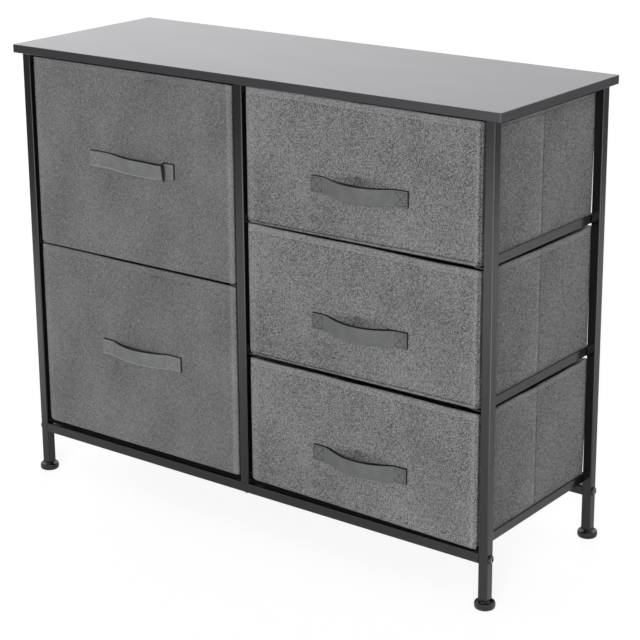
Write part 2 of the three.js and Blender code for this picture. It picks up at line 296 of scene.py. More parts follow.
def webbing_material(name, level):
    """Smooth narrow strap with fine ribs along its length."""
    g = Graph(bpy.data.materials.new(name))
    ribs = g.noise("UV", (90, 1500, 1), 2, 2.0, "2D")
    patch = g.noise("UV", (60, 60, 1), 4, 2.0, "2D")
    tone = g.blend([(ribs, 0.6), (patch, 0.4)])
    colour = g.ramp(tone, [(0.0, grey(level * 0.8, -0.9)), (1.0, grey(level * 1.2, -0.9))])
    turn = 2 * math.pi / RIB_PITCH
    across = g.node("ShaderNodeSeparateXYZ", {0: g.coordinates("UV", (1, turn, 1))})
    rib = g.math("SINE", across.outputs[1])
    normal = g.bump(g.math("ADD", g.math("MULTIPLY", rib, 0.4), ribs), 0.2 * MM, 0.6)
    return g.finish(colour=colour, roughness=0.8, specular=0.25, sheen=0.1, normal=normal)


def thread_material(name, level):
    """Sewing thread with a faint twist."""
    g = Graph(bpy.data.materials.new(name))
    twist = g.noise("Object", (2600, 2600, 2600), 1, 1.0)
    colour = g.ramp(twist, [(0.25, grey(level * 0.8)), (0.75, grey(level * 1.1))])
    return g.finish(colour=colour, roughness=0.6, specular=0.35, normal=g.bump(twist, 0.1 * MM))


def felt_material(name, level):
    """Matt felt with a fluffy surface."""
    g = Graph(bpy.data.materials.new(name))
    fluff = g.noise("Object", (900, 900, 900), 3, 3.0)
    colour = g.ramp(fluff, [(0.3, grey(level)), (0.7, grey(level * 1.4))])
    return g.finish(colour=colour, roughness=0.95, specular=0.05, normal=g.bump(fluff, 0.2 * MM))


def steel_material():
    """Gloss black paint on tube: faint orange peel and a few duller patches."""
    g = Graph(bpy.data.materials.new("gloss_black_steel"))
    peel = g.noise("Object", (420, 420, 420), 0, 2.0)
    dust = g.noise("Object", (26, 26, 9), 3, 4.0)
    colour = g.ramp(dust, [(0.35, (0.0035, 0.0035, 0.0038)), (0.75, (0.006, 0.006, 0.0065))])
    gloss = g.math("ADD", g.math("MULTIPLY", dust, 0.10), 0.14)
    normal = g.bump(peel, 0.05 * MM, 0.25)
    return g.finish(colour=colour, roughness=gloss, specular=0.5, normal=normal)


def board_material():
    """Dark grey laminate: a fine pebbled film, with a satin coat that shows at low angles."""
    g = Graph(bpy.data.materials.new("dark_laminate"))
    pebble = g.noise("Object", (900, 900, 900), 0, 2.0)
    cloud = g.noise("Object", (7, 16, 16), 2, 4.0)
    tone = g.blend([(pebble, 0.5), (cloud, 0.7)])
    colour = g.ramp(tone, [(0.2, (0.017, 0.0155, 0.018)), (0.8, (0.026, 0.0235, 0.0275))])
    gloss = g.math("ADD", g.math("MULTIPLY", cloud, 0.05), 0.26)
    normal = g.bump(pebble, 0.04 * MM, 0.3)
    return g.finish(
        colour=colour, roughness=gloss, specular=0.5, tint=BOARD_TINT, coat=0.5, coat_roughness=0.2,
        coat_tint=BOARD_TINT, normal=normal,
    )


def plastic_material(name, level, roughness):
    """Moulded plastic or black finish, with faint scuffs."""
    g = Graph(bpy.data.materials.new(name))
    grain = g.noise("Object", (1500, 1500, 1500), 0, 2.0)
    scuff = g.noise("Object", (160, 160, 160), 5, 4.0)
    colour = g.ramp(scuff, [(0.3, grey(level)), (0.8, grey(level * 1.5))])
    gloss = g.math("ADD", g.math("MULTIPLY", scuff, 0.2), roughness)
    return g.finish(colour=colour, roughness=gloss, normal=g.bump(grain, 0.05 * MM, 0.5))


def metal_material(name, level, roughness):
    """Bare or plated steel: brushed a little, with small darker marks."""
    g = Graph(bpy.data.materials.new(name))
    brushed = g.noise("Object", (900, 900, 120), 0, 2.0)
    marks = g.noise("Object", (220, 220, 220), 5, 3.0)
    colour = g.ramp(marks, [(0.3, grey(level * 0.8)), (0.7, grey(level))])
    gloss = g.math("ADD", g.math("MULTIPLY", brushed, 0.2), roughness)
    normal = g.bump(brushed, 0.03 * MM, 0.5)
    return g.finish(colour=colour, metallic=1.0, roughness=gloss, normal=normal)


def card_material():
    """Base board: grey board covered with thin felted cloth."""
    g = Graph(bpy.data.materials.new("base_cloth"))
    felt = g.noise("Object", (700, 700, 700), 0, 4.0)
    dots = g.noise("Object", (180, 180, 180), 8, 1.0)
    tone = g.blend([(felt, 0.8), (dots, 0.6)])
    colour = g.ramp(tone, [(0.2, grey(74)), (0.8, grey(104))])
    return g.finish(colour=colour, roughness=0.95, specular=0.15, normal=g.bump(felt, 0.3 * MM, 0.6))


def add_mesh(name, vertices, faces, materials, uvs=None, slots=None, body=None):
    """A smooth-shaded mesh in the row frame, that rides on a body."""
    mesh = bpy.data.meshes.new(name)
    mesh.from_pydata(np.asarray(vertices).tolist(), [], [list(map(int, f)) for f in faces])
    for material in materials:
        mesh.materials.append(material)
    mesh.polygons.foreach_set("use_smooth", np.ones(len(mesh.polygons), dtype=bool))
    if slots is not None:
        mesh.polygons.foreach_set("material_index", np.asarray(slots, dtype=np.int32))
    if uvs is not None:
        layer = mesh.uv_layers.new(name="cloth")
        layer.data.foreach_set("uv", np.asarray(uvs, dtype=np.float32).ravel())
    mesh.update()
    piece = bpy.data.objects.new(name, mesh)
    bpy.context.scene.collection.objects.link(piece)
    if body:
        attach(piece, body)
    return piece


def join_rings(low, high, count, flip=False):
    """Faces between two rings of this many points, which begin at the points low and high."""
    faces = []
    for j in range(count):
        k = (j + 1) % count
        if flip:
            faces.append((low + j, low + k, high + k, high + j))
        else:
            faces.append((low + j, high + j, high + k, low + k))
    return faces


def wall_columns(half_x, half_y):
    """Columns round a drawer, each (ax, ay, nx, ny, side): an outline point is a * (half - r) + r * n."""
    rows = []
    for side in range(4):
        turn = math.pi / 2 * side
        out = (math.sin(turn), -math.cos(turn))
        along = (math.cos(turn), math.sin(turn))
        reach = (half_x if side % 2 == 0 else half_y) - CORNER
        steps = int(round(reach / CELL)) * 2
        places = [reach * (2 * k / steps - 1) for k in range(steps + 1)]
        if side % 2:
            middle = SIDE_CREASE * along[1]
            places = [place for place in places if abs(place - middle) > CREASE_STEPS[-1] + MM]
            places += [middle + sign * step for step in CREASE_STEPS for sign in (-1, 1)] + [middle]
        for place in sorted(places):
            t = place / reach
            rows.append((out[0] + along[0] * t, out[1] + along[1] * t, *out, side))
        corner = (out[0] + along[0], out[1] + along[1])
        for k in range(1, CORNER_STEPS):
            angle = turn - math.pi / 2 + math.pi / 2 * k / CORNER_STEPS
            rows.append((*corner, math.cos(angle), math.sin(angle), side))
    return np.array(rows)


def hem_grooves(top):
    """The grooves that the hem's stitches pull into the cloth, at this depth below the top edge."""
    return -GROOVE_DEPTH * (bell(top, HEM, GROOVE_WIDTH) + bell(top, HEM_TOP, GROOVE_WIDTH))


class Drawer:
    """A fabric drawer: outer walls, rim, inner walls and floor as one closed skin."""

    def __init__(self, body, style):
        self.body = body
        self.style = style
        low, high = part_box(f"{body}_shell")
        self.middle_x = (low.x + high.x) / 2
        self.front_y = low.y
        self.low_z = low.z
        self.height = high.z - low.z
        self.half_x = (high.x - low.x) / 2
        self.half_y = (high.y - low.y) / 2
        seed = style["seed"]
        self.dents = waves(seed, 0.105, 16, 1.5, 0.55)
        self.folds = waves(seed + 1, 0.034, 12, 0.5, 0.0)
        self.puckers = waves(seed + 2, 0.017, 12, 0.3, 0.0)
        self.sway = waves(seed + 3, 0.22, 6, 0.4, 0.0)

    def across(self, ends, x):
        """Value at x of a straight line between its values at the front's left and right edges."""
        left, right = ends
        return left + (right - left) * (x / self.half_x + 1) / 2

    def top_shift(self, u):
        """How far the top edge stands above its plain height at the share u across, from -1 to 1."""
        left, right = self.style["top"]
        share = smooth(-1, 1, u)
        return left + (right - left) * share + 0.18 * MM * self.sway(u * self.half_x, 0.0)

    def top_share(self, z):
        """Share of the top edge's shift that the cloth at this height follows."""
        return smooth(self.height - TOP_BLEND, self.height, z)

    def side_dip(self, y):
        """How far the top edge lies lower at y behind the middle: not at the front, most at the rear."""
        front, rear = SIDE_DIP
        share = (y / self.half_y + 1) / 2
        near_front = smooth(2 * MM, 16 * MM, y + self.half_y)
        near_rear = 1 - 0.7 * smooth(-22 * MM, -3 * MM, y - self.half_y)
        return -(front + (rear - front) * share) * (near_front * near_rear)

    def rear_bulge(self, z):
        """How far the sides' rear edges stand out, by the height above the drawer's foot."""
        low, high = self.style["rear"]
        return np.minimum(low + (high - low) * z / self.height, REAR_BULGE)

    def out_front(self, x, z):
        """How far the front stands out at x from its middle and z above its foot."""
        off_edge = self.half_x - np.abs(x)
        inside = smooth(0, 14 * MM, off_edge) * smooth(2 * MM, 22 * MM, z)
        top = self.height - z
        depth = self.style["dent"] * self.dents(x, z) * inside
        depth = depth + 0.10 * MM * self.folds(x, 0.3 * z) * inside * smooth(0, 60 * MM, top)
        near_top = 1 - smooth(4 * MM, 34 * MM, top)
        depth = depth + 0.11 * MM * self.puckers(x, z) * near_top
        depth = depth + hem_grooves(top)
        if self.style["seam"]:
            groove = bell(z, self.across(self.style["seam"], x), SEAM_WIDTH)
            depth = depth - SEAM_DEPTH * groove * smooth(0, 20 * MM, off_edge)
        for place in (-TAB_PLACE, TAB_PLACE):
            off_x = np.abs(x - place) / (13 * MM)
            off_z = np.abs(z - self.style["pull"]) / (14 * MM)
            press = 1 - smooth(0.75, 1.25, np.maximum(off_x, off_z))
            depth = depth * (1 - press) - TAB_PRESS * press
        return depth

    def out_side(self, y, z):
        """How far a side stands out at y behind the drawer's middle."""
        inside = smooth(0, 16 * MM, self.half_y - np.abs(y)) * smooth(2 * MM, 22 * MM, z)
        depth = 0.5 * self.style["dent"] * self.dents(y + 1.7, z) * inside - 0.35 * MM * inside
        crease = y - SIDE_CREASE
        rise = np.exp(np.minimum(crease, 0) / (11 * MM)) * np.exp(-np.maximum(crease, 0) / (2.6 * MM))
        depth = depth + 1.35 * MM * rise * inside
        near_rear = smooth(self.half_y - 26 * MM, self.half_y - 3 * MM, y)
        return depth + hem_grooves(self.height - z) + self.rear_bulge(z) * near_rear

    def out_rear(self, x, z):
        """How far the rear stands out at x from its middle and z above its foot."""
        inside = smooth(0, 14 * MM, self.half_x - np.abs(x)) * smooth(2 * MM, 20 * MM, z)
        return 0.4 * self.style["dent"] * self.dents(x + 3.1, z) * inside - 0.4 * MM * inside

    def profile(self):
        """Rows (kind, inset, z) from the foot's middle up the outside, over the rim and down inside."""
        rows = [("foot", share * self.half_y, 0.0) for share in (1.0, 0.72, 0.4, 0.16)]
        for k in range(FOLD_STEPS + 1):
            angle = math.pi / 2 * k / FOLD_STEPS
            rows.append(("fold", SIDE_FOLD * (1 - math.sin(angle)), SIDE_FOLD * (1 - math.cos(angle))))
        hem = self.height - HEM
        levels = list(np.arange(SIDE_FOLD + CELL, hem - 4 * MM, CELL))
        levels += [hem + step * MM for step in (-2.6, -1.3, -0.6, 0, 0.6, 1.3, 2.4)]
        levels += [self.height - HEM_TOP + step * MM for step in (-1.3, -0.6, 0, 0.6, 1.3)]
        levels.append(self.height - RIM)
        if self.style["seam"]:
            low, high = self.style["seam"]
            levels = [z for z in levels if not low - 2 * MM < z < high + 2 * MM]
            lowest = max(low - 1.5 * MM, SIDE_FOLD + 0.4 * MM)
            levels += list(np.arange(lowest, high + 1.5 * MM, 0.7 * MM))
        rows += [("outer", 0.0, z) for z in sorted(levels)]
        turns = [(math.cos(math.pi / 4 * k), math.sin(math.pi / 4 * k)) for k in range(3)]
        rows += [("rim", RIM * (1 - c), self.height - RIM * (1 - s)) for c, s in turns[1:]]
        rows += [("lip", -RIM * (1 - s), self.height - RIM * (1 - c)) for c, s in turns]
        inner = np.linspace(self.height - HEM, FLOOR + 3 * MM, int(self.height / (12 * MM)))
        rows += [("inner", 0.0, z) for z in inner]
        rows += [("tray", (self.half_y - WALL) * share, FLOOR) for share in (0.0, 0.16, 0.45, 0.75, 1.0)]
        return rows

    def shell_points(self, rows, columns):
        """Points of the skin, row by row, about the drawer's middle and foot."""
        a = columns[:, :2]
        n = columns[:, 2:4]
        sides = columns[:, 4].astype(int)
        straight = np.abs(n).max(axis=1) > 0.9999
        half = np.where(sides % 2 == 0, self.half_x, self.half_y) - CORNER
        along = np.where(sides % 2 == 0, a[:, 0], a[:, 1]) * half
        points = []
        for kind, inset, z in rows:
            wall = WALL if kind in ("lip", "inner", "tray") else 0.0
            inset_x = wall + inset
            inset_y = wall + inset
            if kind == "fold":
                gap = max(FRONT_FOLD - z, 0.0)
                inset_y = FRONT_FOLD - math.sqrt(FRONT_FOLD**2 - gap**2)
            half_x = max(self.half_x - inset_x, 0.0)
            half_y = max(self.half_y - inset_y, 0.0)
            radius = np.minimum(CORNER + (REAR_CORNER - CORNER) * (a[:, 1] + 1) / 2, half_y)
            x = a[:, 0] * (half_x - radius) + radius * n[:, 0]
            y = a[:, 1] * (half_y - radius) + radius * n[:, 1]
            if kind == "fold":
                near_front = smooth(self.half_y - 14 * MM, self.half_y - 3 * MM, -y)
                x = x + self.style["square"] * inset_x * np.maximum(a[:, 0], 0) * near_front
            if wall and half_y > 0:
                y = y + (FRONT_WALL - WALL) * np.clip(-y / half_y, 0, 1)
            if kind not in ("foot", "tray"):
                at_rear = np.abs(n[:, 0]) * (a[:, 1] > 0)
                out = hem_grooves(self.height - z) + self.rear_bulge(z) * at_rear
                walls = (self.out_front, self.out_side, self.out_rear, self.out_side)
                for side, out_wall in enumerate(walls):
                    chosen = (sides == side) & straight
                    out[chosen] = out_wall(along[chosen], z)
                share = 0.5 if kind == "inner" else 1.0
                x = x + n[:, 0] * out * share
                y = y + n[:, 1] * out * share
            height = z + self.top_share(z) * (self.top_shift(x / self.half_x) + self.side_dip(y))
            if kind in ("foot", "fold"):
                edge = smooth(self.half_y - 1.9 * MM, self.half_y - 0.6 * MM, -y)
                span = smooth(0, self.style["sag_fade"], self.half_x - np.abs(x))
                height = height - self.across(self.style["sag"], x) * edge * span
            points.append(np.stack([x, y, height], axis=1))
        return np.array(points)

    def tone(self, rows, columns):
        """Painted light and shade on the cloth at edges, creases, hems, seams and above a right-hand
        strap.
        """
        style = self.style
        sides = columns[:, 4].astype(int)
        x = columns[:, 0] * (self.half_x - CORNER) + columns[:, 2] * CORNER
        crease = columns[:, 1] * (self.half_y - CORNER) - SIDE_CREASE
        right = self.half_x - x
        # Painted light and shade at the front's edges: a pale band about 7.6 mm in from the rounded right
        # edge, where it catches light, and a weaker one at the left, a dark line 4 mm in on the right-hand
        # fronts, and the last 2 mm at the right edge darkened as the shade of the gap.
        edge = bell(right, 7.6 * MM, 3.6 * MM) + 0.4 * bell(self.half_x + x, 8 * MM, 4 * MM)
        edge = style["edge_highlight"] * edge - style["edge_shade_line"] * bell(right, 4 * MM, 1.3 * MM)
        edge = edge - 0.8 * (1 - smooth(0.7 * MM, 2 * MM, right))
        # Painted light and shade at the side crease: a pale band in front of it and a dark line just
        # behind it.
        fold = 0.12 * bell(crease, -4 * MM, 4 * MM) - 0.34 * bell(crease, 1.2 * MM, 1.6 * MM)
        values = []
        for kind, _, z in rows:
            top = self.height - z
            # Painted light and shade along the hem: a pale band above its lower stitch line, pale lines on
            # both stitch lines, and a dark line just below the hem.
            hem = 0.75 * (1 - smooth(-MM, 1.6 * MM, top - HEM))
            hem = hem + 0.5 * bell(top, HEM, MM) + 0.5 * bell(top, HEM_TOP, MM)
            hem = hem - 0.5 * bell(top, HEM + 2.6 * MM, MM)
            value = np.full(len(columns), style["hem_shading"] * hem)
            shadow = style["shade"] * bell(x, 2 * MM, 30 * MM)
            front = edge - shadow * bell(z, style["pull"] + 13 * MM, 5 * MM)
            # Painted shade in the lower seam's groove.
            if style["seam"]:
                front = front - 0.5 * bell(z, self.across(style["seam"], x), SEAM_WIDTH)
            value = value + np.where(sides == 0, front, 0)
            value = value + np.where(sides % 2 == 1, fold, 0)
            values.append(value * (kind in ("outer", "rim", "fold")))
        return np.array(values)

    def build(self, materials):
        """Makes the skin in outer and inner cloth, with its painted light and shade, in place of the CAD's
        shell.
        """
        rows = self.profile()
        columns = wall_columns(self.half_x, self.half_y)
        points = self.shell_points(rows, columns)
        kinds = [row[0] for row in rows]
        count = len(columns)
        outline = points[kinds.index("outer")]
        steps = np.linalg.norm(np.roll(outline, -1, axis=0) - outline, axis=1)
        around = np.concatenate([[0], np.cumsum(steps)])
        rises = np.median(np.linalg.norm(np.diff(points, axis=0), axis=2), axis=1)
        climb = np.concatenate([[0], np.cumsum(rises)])
        faces = []
        uvs = []
        slots = []
        for i in range(len(rows) - 1):
            flat = all(kind in ("foot", "tray") for kind in kinds[i : i + 2])
            inside = any(kind in ("inner", "tray") for kind in kinds[i : i + 2])
            for j in range(count):
                k = (j + 1) % count
                corners = ((i, j), (i, k), (i + 1, k), (i + 1, j))
                faces.append([row * count + column for row, column in corners])
                if flat:
                    uvs += [points[row, column, :2] for row, column in corners]
                else:
                    places = ((i, j), (i, j + 1), (i + 1, j + 1), (i + 1, j))
                    uvs += [(around[column], climb[row]) for row, column in places]
                slots.append(1 if inside else 0)
        place = np.array([self.middle_x, self.front_y + self.half_y, self.low_z])
        vertices = points.reshape(-1, 3) + place
        piece = add_mesh(f"{self.body}_cloth", vertices, faces, materials, uvs, slots)
        # The tone attribute holds the painted light and shade that the cloth's material adds to its
        # colour.
        layer = piece.data.attributes.new("tone", "FLOAT", "POINT")
        layer.data.foreach_set("value", self.tone(rows, columns).astype(np.float32).ravel())
        merge_close(piece)
        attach(piece, self.body)
        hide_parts(f"{self.body}_shell")

    def on_front(self, x, z, lift):
        """Row-frame points on the front's skin, lifted off it a little."""
        x = np.asarray(x, float)
        z = np.asarray(z, float) + 0 * x
        shift = self.top_share(z) * self.top_shift(x / self.half_x)
        y = self.front_y - self.out_front(x, z) - lift
        return np.stack([self.middle_x + x, y, self.low_z + z + shift], axis=1)

    def on_side(self, sign, y, z, lift):
        """Row-frame points on the left (sign -1) or right side's skin, lifted off it a little."""
        y = np.asarray(y, float)
        z = np.asarray(z, float) + 0 * y
        shift = self.top_share(z) * (self.top_shift(float(sign)) + self.side_dip(y))
        x = self.middle_x + sign * (self.half_x + self.out_side(y, z) + lift)
        return np.stack([x, self.front_y + self.half_y + y, self.low_z + z + shift], axis=1)


def merge_close(piece):
    """Joins the points that fall together where a skin closes on a line."""
    work = bmesh.new()
    work.from_mesh(piece.data)
    bmesh.ops.remove_doubles(work, verts=work.verts, dist=0.02 * MM)
    bmesh.ops.dissolve_degenerate(work, edges=work.edges, dist=0.01 * MM)
    work.to_mesh(piece.data)
    work.free()


def stitch_run(line, normal, sewing):
    """Stitches along a line of points: (centre, direction, normal, length) of each."""
    _, pitch, length = sewing
    line = np.asarray(line, float)
    normal = np.asarray(normal, float)
    steps = np.linalg.norm(np.diff(line, axis=0), axis=1)
    reach = np.concatenate([[0], np.cumsum(steps)])
    count = max(int(reach[-1] / pitch), 1)
    made = []
    for place in (np.arange(count) + 0.5) * reach[-1] / count:
        ends = (place - length / 2, place + length / 2)
        low, high = (np.array([np.interp(end, reach, line[:, k]) for k in range(3)]) for end in ends)
        size = np.linalg.norm(high - low)
        if size > 0.2 * length:
            made.append(((low + high) / 2, (high - low) / size, normal, length))
    return made


def add_stitches(name, runs, material, body, sewing):
    """Raised stitches, each a short thread that dips into the cloth at both ends."""
    thick = sewing[0]
    sides = STITCH_SIDES
    vertices = []
    faces = []
    for centre, direction, normal, length in runs:
        across = np.cross(normal, direction)
        low = len(vertices)
        for place, size, rise in STITCH_RINGS:
            for k in range(sides):
                angle = 2 * math.pi * k / sides
                offset = across * math.cos(angle) + normal * math.sin(angle)
                middle = centre + direction * place * length + normal * thick * rise
                vertices.append(middle + offset * thick * size)
        high = len(vertices) - sides
        for ring in range(low, high, sides):
            faces += join_rings(ring, ring + sides, sides, flip=True)
        faces.append([low + k for k in reversed(range(sides))])
        faces.append([high + k for k in range(sides)])
    add_mesh(name, vertices, faces, [material], body=body)


def smooth_path(points):
    """A rounded path through points, evenly spaced, and its length."""
    points = np.array(points, float)
    for _ in range(3):
        cut = np.empty((2 * len(points), 2))
        cut[0] = points[0]
        cut[-1] = points[-1]
        cut[1:-1:2] = 0.75 * points[:-1] + 0.25 * points[1:]
        cut[2:-1:2] = 0.25 * points[:-1] + 0.75 * points[1:]
        points = cut
    reach = np.concatenate([[0], np.cumsum(np.linalg.norm(np.diff(points, axis=0), axis=1))])
    places = np.linspace(0, reach[-1], STRAP_POINTS)
    return np.stack([np.interp(places, reach, points[:, k]) for k in range(2)], axis=1), reach[-1]


# Paths of the pulls seen from above: across from the drawer's middle, and out from its front
EVEN_BOW = [
    (-77.0, 0), (-66, 0), (-57, 0), (-51, 1.0), (-38, 6.0), (-22, 11.0), (-4, 13.0),
    (14, 12.4), (32, 9.0), (46, 4.0), (54, 0.8), (60, 0), (68, 0), (76.6, 0),
]
LOOP_BOW = [
    (-79.0, 0), (-67, 0), (-55, 0), (-43, 0.4), (-34, 1.8), (-23, 4.6), (-11, 7.8), (2, 10.2), (15, 11.2),
    (30, 11.2), (44, 11.6), (54, 12.4), (61, 12.9), (65.8, 12.6), (66.8, 10.6), (65.2, 7.4), (62.6, 4.0),
    (60.8, 1.4), (61.2, 0), (64, 0), (72, 0), (80.0, 0),
]
LOW_BOW = [
    (-68.0, 0), (-60, 0), (-49, 0), (-43, 1.2), (-32, 5.6), (-17, 9.6), (0, 11.2), (16, 10.8),
    (32, 8.4), (45, 4.8), (53, 1.6), (58, 0), (70, 0), (83.0, 0),
]


def strap_section():
    """Points round the strap's cross-section: height from its middle, and share of its thickness."""
    half = STRAP_HEIGHT / 2
    near = half - 0.4 * STRAP_EDGE
    far = half - 1.6 * STRAP_EDGE
    between = [k / 4 * half for k in range(-3, 4)]
    section = [(-half, 0.25), (-half, 0.75), (-near, 1.0), (-far, 1.0)]
    section += [(z, 1.0) for z in between]
    section += [(far, 1.0), (near, 1.0), (half, 0.75), (half, 0.25)]
    section += [(near, 0.0), (far, 0.0)]
    section += [(z, 0.0) for z in reversed(between)]
    section += [(-far, 0.0), (-near, 0.0)]
    return section


def add_pull(drawer, materials, thread, light):
    """The strap on a drawer's front: flat sewn ends, a bow between them, and edges in painted shade."""
    style = drawer.style
    path, length = smooth_path([(x * MM, b * MM) for x, b in style["path"]])
    tangent = np.gradient(path, axis=0)
    tangent /= np.linalg.norm(tangent, axis=1)[:, None]
    normal = np.stack([-tangent[:, 1], tangent[:, 0]], axis=1)
    share = np.minimum(path[:, 1] / BOW_DEPTH, 1.0)
    half = STRAP_HEIGHT / 2
    section = strap_section()

    def point(i, z, t):
        out = path[i, 1] + style["lean"] * (z / half) * share[i] + normal[i, 1] * t * STRAP_THICKNESS
        across = path[i, 0] + normal[i, 0] * t * STRAP_THICKNESS
        rise = style["pull"] + z - style["droop"] * share[i]
        return (drawer.middle_x + across, drawer.front_y - STRAP_SEAT - out, drawer.low_z + rise)

    vertices = [point(i, z, t) for i in range(len(path)) for z, t in section]
    uvs_at = [(i * length / (len(path) - 1), z) for i in range(len(path)) for z, _ in section]
    faces = []
    slots = []
    count = len(section)
    last = (len(path) - 1) * count
    for i in range(len(path) - 1):
        faces += join_rings(i * count, (i + 1) * count, count)
        # Painted shade: the strap's edges, back and end faces, and all of the steep turned-in flank of a
        # loop, take the near-black second material.
        turned_out = tangent[i, 1] > -0.6 or path[i, 1] < MM
        for (_, t), (_, t_next) in zip(section, section[1:] + section[:1]):
            slots.append(0 if turned_out and min(t, t_next) > 0.9 else 1)
    faces += [list(range(count)), [last + j for j in reversed(range(count))]]
    slots += [1, 1]
    uvs = [uvs_at[v] for face in faces for v in face]
    name = f"{drawer.body}_strap"
    piece = add_mesh(name, vertices, faces, materials, uvs, slots, drawer.body)
    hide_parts(f"{drawer.body}_pull")
    add_shade_sheet(drawer, materials[1], path, share)
    sew_tabs(drawer, thread)
    # Pale stitches near the strap's lower edge: their pale thread paints the highlight along that edge.
    if style["edge_stitches"]:
        bow = range(np.argmax(path[:, 0] > EDGE_STITCHES_END))
        line = [point(i, -half + 0.9 * MM, 1.0) for i in bow]
        runs = stitch_run(line, (0, -1, 0), EDGE_SEWING)
        add_stitches(f"{name}_edge_stitches", runs, light, drawer.body, EDGE_SEWING)


def add_shade_sheet(drawer, material, path, share):
    """Near-black sheet on the cloth behind the strap, a painted shade that shows above it and at its right
    end.

    Its upper edge is worked out from the photograph's camera place, to show as an even line above
    the strap from there. The form is fixed: more of it shows from higher up, and less from lower down.
    """
    wide, tall = SHADE_SHEET_POINTS
    across = np.linspace(path[0, 0] + MM, path[-1, 0] + SHADE_SHEET_EDGE, wide)
    reach = drawer.front_y - CAMERA_PLACE[1]
    sight_side = (CAMERA_PLACE[0] - drawer.middle_x) / reach
    sight_drop = (CAMERA_PLACE[2] - drawer.low_z - drawer.style["pull"]) / reach
    out = path[:, 1] + drawer.style["lean"] * share
    seen = path[:, 0] - sight_side * out
    order = np.argsort(seen)
    dip = np.interp(across, seen[order], (sight_drop * out + drawer.style["droop"] * share)[order])
    extra = np.interp(across, seen[order], share[order])
    high = STRAP_HEIGHT / 2 + SHADE_SHEET_EDGE * (1 + extra) - dip
    low = -STRAP_HEIGHT / 2 + MM
    grids = []
    for lift in (SHADE_SHEET_LIFT, -SHADE_SHEET_LIFT):
        for t in np.linspace(0, 1, tall):
            grids.append(drawer.on_front(across, drawer.style["pull"] + low + (high - low) * t, lift))
    vertices = np.concatenate(grids)
    rear = wide * tall
    faces = []
    for i in range(tall - 1):
        for j in range(wide - 1):
            v = i * wide + j
            face = (v, v + 1, v + wide + 1, v + wide)
            faces += [face, [v + rear for v in reversed(face)]]
    rim = list(range(wide)) + [i * wide + wide - 1 for i in range(1, tall)]
    rim += [(tall - 1) * wide + j for j in range(wide - 2, -1, -1)]
    rim += [i * wide for i in range(tall - 2, 0, -1)]
    for a, b in zip(rim, rim[1:] + rim[:1]):
        faces.append((b, a, a + rear, b + rear))
    uvs = [(vertices[v][0], vertices[v][2]) for face in faces for v in face]
    name = f"{drawer.body}_strap_painted_shade"
    add_mesh(name, vertices, faces, [material], uvs, body=drawer.body)


def add_foot_strip(drawer, material):
    """Black felt strip under a lowest drawer's front edge: painted shade closing the gap above the rail.
    """
    half = drawer.half_x + FOOT_STRIP_REACH
    low, high = drawer.low_z - FOOT_STRIP_DROP, drawer.low_z + MM
    front = drawer.front_y + FOOT_STRIP_BACK
    rear = front + FOOT_STRIP_THICKNESS
    places = [drawer.middle_x + half * t for t in np.linspace(-1, 1, FOOT_STRIP_POINTS)]
    ring = [(front, low), (rear, low), (rear, high), (front, high)]
    vertices = [(x, y, z) for x in places for y, z in ring]
    faces = []
    last = len(vertices) - 4
    for v in range(0, last, 4):
        faces += join_rings(v, v + 4, 4, flip=True)
    faces += [(3, 2, 1, 0), (last, last + 1, last + 2, last + 3)]
    name = f"{drawer.body}_foot_strip"
    piece = add_mesh(name, vertices, faces, [material], body=drawer.body)
    piece.data.polygons.foreach_set("use_smooth", np.zeros(len(faces), dtype=bool))


def sew_tabs(drawer, thread):
    """A crossed box of stitches through each end of the strap."""
    runs = []
    margin_x, margin_z = TAB_MARGIN
    y = drawer.front_y - STRAP_SEAT - STRAP_THICKNESS
    reach = STRAP_HEIGHT / 2 - margin_z
    base, top = drawer.style["pull"] - reach, drawer.style["pull"] + reach
    for low, high in drawer.style["tabs"]:
        low, high = low * MM + margin_x, high * MM - margin_x
        corners = [(low, base), (high, base), (high, top), (low, top)]
        lines = list(zip(corners, corners[1:] + corners[:1]))
        lines += [(corners[0], corners[2]), (corners[1], corners[3])]
        for ends in lines:
            line = [(drawer.middle_x + x, y, drawer.low_z + z) for x, z in ends]
            runs += stitch_run(line, (0, -1, 0), TAB_SEWING)
    add_stitches(f"{drawer.body}_strap_stitches", runs, thread, drawer.body, TAB_SEWING)


def sew_hem(drawer, thread):
    """Two lines of stitches under the top edge, on the front and both sides."""
    x, y = (np.linspace(-1, 1, count) for count in HEM_POINTS)
    x = x * (drawer.half_x - CORNER - MM)
    y = y * (drawer.half_y - CORNER - MM)
    runs = []
    for hem in (drawer.height - HEM, drawer.height - HEM_TOP):
        runs += stitch_run(drawer.on_front(x, hem, HEM_LIFT), (0, -1, 0), HEM_SEWING)
        for sign in (-1, 1):
            runs += stitch_run(drawer.on_side(sign, y, hem, HEM_LIFT), (sign, 0, 0), HEM_SEWING)
    add_stitches(f"{drawer.body}_hem_stitches", runs, thread, drawer.body, HEM_SEWING)


